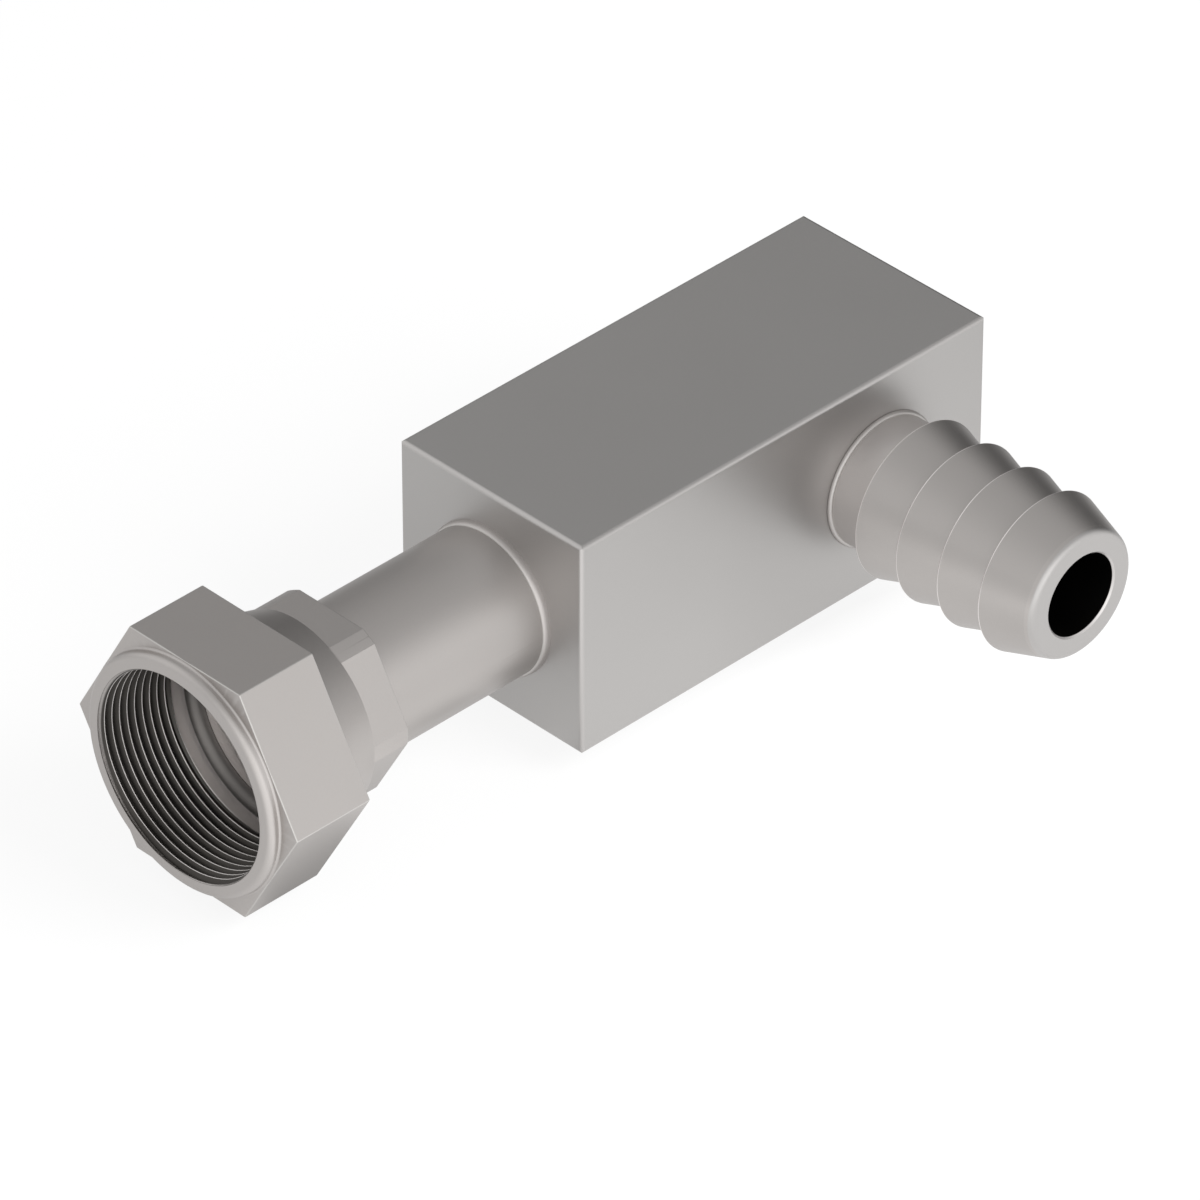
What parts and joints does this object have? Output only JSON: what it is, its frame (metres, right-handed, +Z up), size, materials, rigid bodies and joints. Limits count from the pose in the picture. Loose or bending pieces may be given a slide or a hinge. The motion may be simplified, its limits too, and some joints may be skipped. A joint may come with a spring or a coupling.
{
  "type": "elbow fitting with swivel nut and hose tail",
  "caption": "Right-angle block elbow fitting: a swivel nut with internal thread on a straight stem, and a ridged hose tail out of the block's side.",
  "frame": {"origin": "centre of the stem's flat sealing face, inside the nut, where the stem's passage opens", "axes": "+Y along the stem into the fitting, +X the way the hose tail points, +Z up; the nut's open end looks along -Y"},
  "size_m": [0.0856, 0.1502, 0.041],
  "materials": {
    "bar_steel": "satin, bare steel bar with lightly rounded edges",
    "turned_steel": "satin, turned",
    "nut_steel": "satin, milled flats",
    "filler": "satin, smooth bead"
  },
  "bodies": {
    "fitting": {"block": "bar_steel", "stem": "turned_steel", "stem_braze": "filler", "hose_tail": "turned_steel", "tail_braze": "filler"},
    "nut": {"swivel_nut": "nut_steel"}
  },
  "joints": [
    {"name": "nut_swivel", "type": "hinge", "parent": "fitting", "child": "nut", "pos_m": [0, 0, 0], "axis": [0, 1, 0], "continuous": true}
  ]
}
